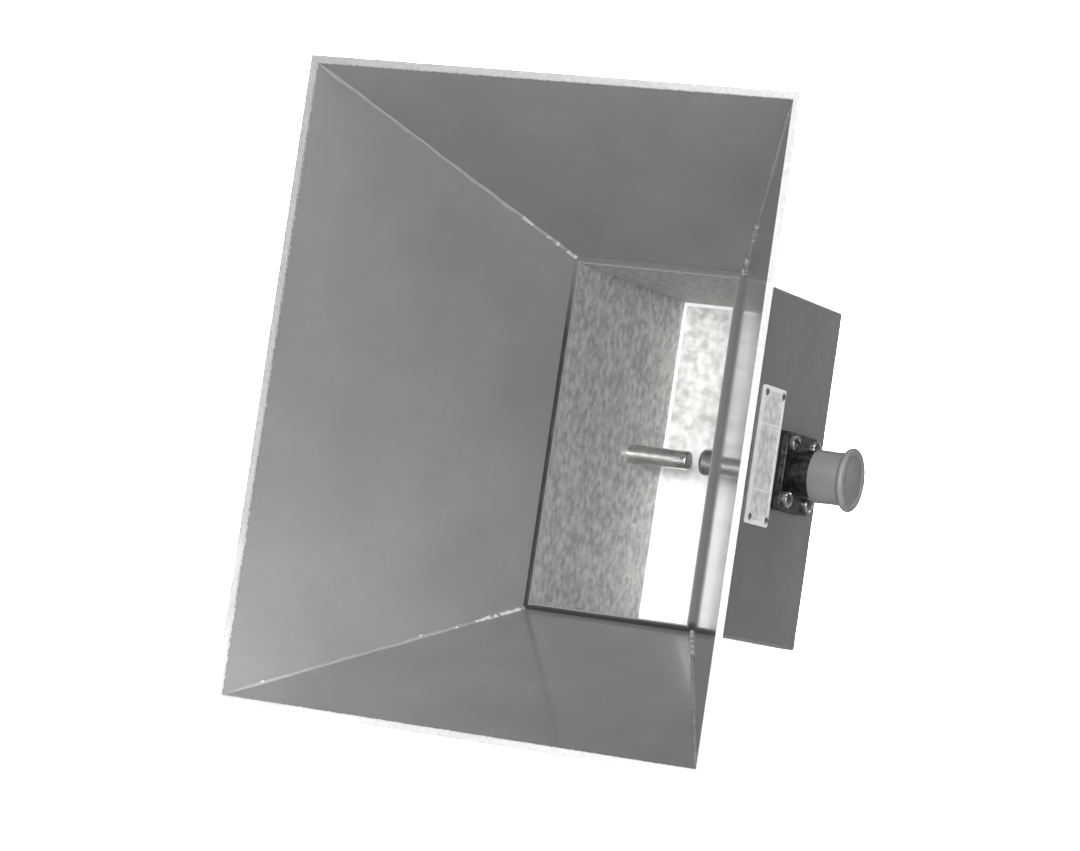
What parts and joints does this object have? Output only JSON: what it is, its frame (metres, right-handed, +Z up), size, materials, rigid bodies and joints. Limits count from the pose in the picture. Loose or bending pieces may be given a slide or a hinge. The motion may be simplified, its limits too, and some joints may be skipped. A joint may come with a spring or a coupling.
{
  "type": "horn antenna",
  "caption": "Short pyramidal horn antenna of grey sheet on a rectangular waveguide stub, with a side coaxial jack under a push-on dust cap.",
  "frame": {"origin": "centre of the closed rear face of the waveguide stub", "axes": "+X towards the coaxial jack, +Y to the rear, out of the closed end (the horn looks along -Y), +Z up along the guide's broad side"},
  "size_m": [0.1606, 0.185, 0.1974],
  "materials": {
    "painted_grey": "semi-gloss grey paint on aluminium sheet",
    "seam_metal": "filed aluminium braze",
    "bare_metal": "bare etched aluminium",
    "plate_metal": "bright anodised aluminium",
    "dark_rubber": "black sheet rubber",
    "nickel": "dull nickel plate on brass",
    "ptfe_white": "white PTFE",
    "gold": "thin gold plate",
    "steel": "stainless steel",
    "cap_grey": "mid-grey moulded plastic"
  },
  "bodies": {
    "horn": {"horn_wall_top": "painted_grey", "horn_wall_bottom": "painted_grey", "horn_wall_left": "painted_grey", "horn_wall_right": "painted_grey", "corner_seams": "seam_metal", "lap_seam": "seam_metal", "waveguide_tube": "bare_metal", "short_plate": "bare_metal", "data_plate": "plate_metal", "plate_pins": "steel", "jack_gasket": "dark_rubber", "jack_body": "nickel", "jack_insulator": "ptfe_white", "jack_contact": "gold", "jack_screws": "steel", "jack_washers": "steel", "feed_probe": "nickel", "tuning_post": "bare_metal", "post_screw": "steel", "post_washer": "steel"},
    "cap": {"dust_cap": "cap_grey"}
  },
  "joints": [
    {"name": "cap_pull", "type": "slide", "parent": "horn", "child": "cap", "axis": [1, 0, 0], "range_m": [0, 0.03]}
  ]
}
